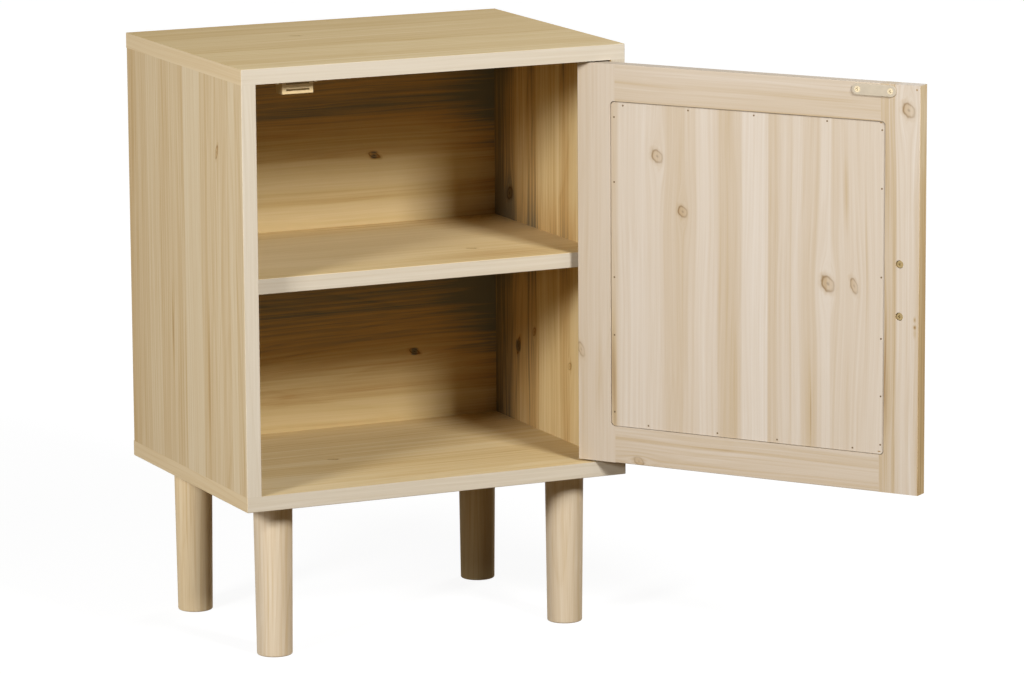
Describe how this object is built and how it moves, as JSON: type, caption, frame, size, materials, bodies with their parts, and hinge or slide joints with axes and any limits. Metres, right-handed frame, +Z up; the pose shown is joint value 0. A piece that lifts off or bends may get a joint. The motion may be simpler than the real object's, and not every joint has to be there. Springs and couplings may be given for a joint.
{
  "type": "storage side table with door",
  "caption": "Small wooden side cabinet on tapered round legs, with a shelf behind a hinged frame-and-panel door and a magnetic catch.",
  "frame": {"origin": "on the floor, under the middle of the 400 by 300 mm carcass; the open door isn't counted", "axes": "+Z up; the front, where the door closes, faces -Y; +X is to the right seen from the front, which is the hinge side"},
  "size_m": [0.5907, 0.5835, 0.577],
  "materials": {
    "carcass_wood": "planed pale softwood, clear satin lacquer",
    "leg_wood": "turned pale softwood, clear satin lacquer",
    "dowel_beech": "fluted beech, unfinished",
    "door_frame_wood": "planed pale softwood, clear satin lacquer",
    "door_panel_wood": "edge-glued pale softwood, clear satin lacquer",
    "pull_wood": "sanded pale softwood, clear satin lacquer",
    "zinc_plated_steel": "bright zinc plated",
    "brad_steel": "dull drawn steel",
    "pole_plate_steel": "dull nickel plated",
    "ferrite_magnet": "sintered black ferrite",
    "ivory_plastic": "moulded, satin",
    "ivory_painted_steel": "ivory enamel, satin",
    "pivot_nylon": "natural nylon"
  },
  "bodies": {
    "cabinet": {"top_panel": "carcass_wood", "bottom_panel": "carcass_wood", "left_side_panel": "carcass_wood", "right_side_panel": "carcass_wood", "back_panel": "carcass_wood", "middle_shelf": "carcass_wood", "top_left_dowels": "dowel_beech", "top_right_dowels": "dowel_beech", "bottom_left_dowels": "dowel_beech", "bottom_right_dowels": "dowel_beech", "shelf_left_dowels": "dowel_beech", "shelf_right_dowels": "dowel_beech", "leg_front_left": "leg_wood", "leg_front_right": "leg_wood", "leg_rear_left": "leg_wood", "leg_rear_right": "leg_wood", "leg_hanger_bolts": "zinc_plated_steel", "leg_threaded_inserts": "zinc_plated_steel", "catch_housing": "ivory_plastic", "catch_magnet": "ferrite_magnet", "catch_pole_plates": "pole_plate_steel", "catch_screws": "zinc_plated_steel", "top_pivot_sleeve": "pivot_nylon", "bottom_pivot_pin": "zinc_plated_steel"},
    "door": {"door_hinge_stile": "door_frame_wood", "door_free_stile": "door_frame_wood", "door_top_rail": "door_frame_wood", "door_bottom_rail": "door_frame_wood", "door_panel": "door_panel_wood", "door_panel_brads": "brad_steel", "door_frame_dowels": "dowel_beech", "top_pivot_pin": "zinc_plated_steel", "bottom_pivot_bush": "pivot_nylon", "strike_plate": "ivory_painted_steel", "strike_screws": "zinc_plated_steel", "door_pull": "pull_wood", "door_pull_screws": "zinc_plated_steel"}
  },
  "joints": [
    {"name": "door_hinge", "type": "hinge", "parent": "cabinet", "child": "door", "pos_m": [0.1695, -0.1425, 0.3645], "axis": [0, 0, 1], "range_deg": [-125.5, 1.5]}
  ]
}
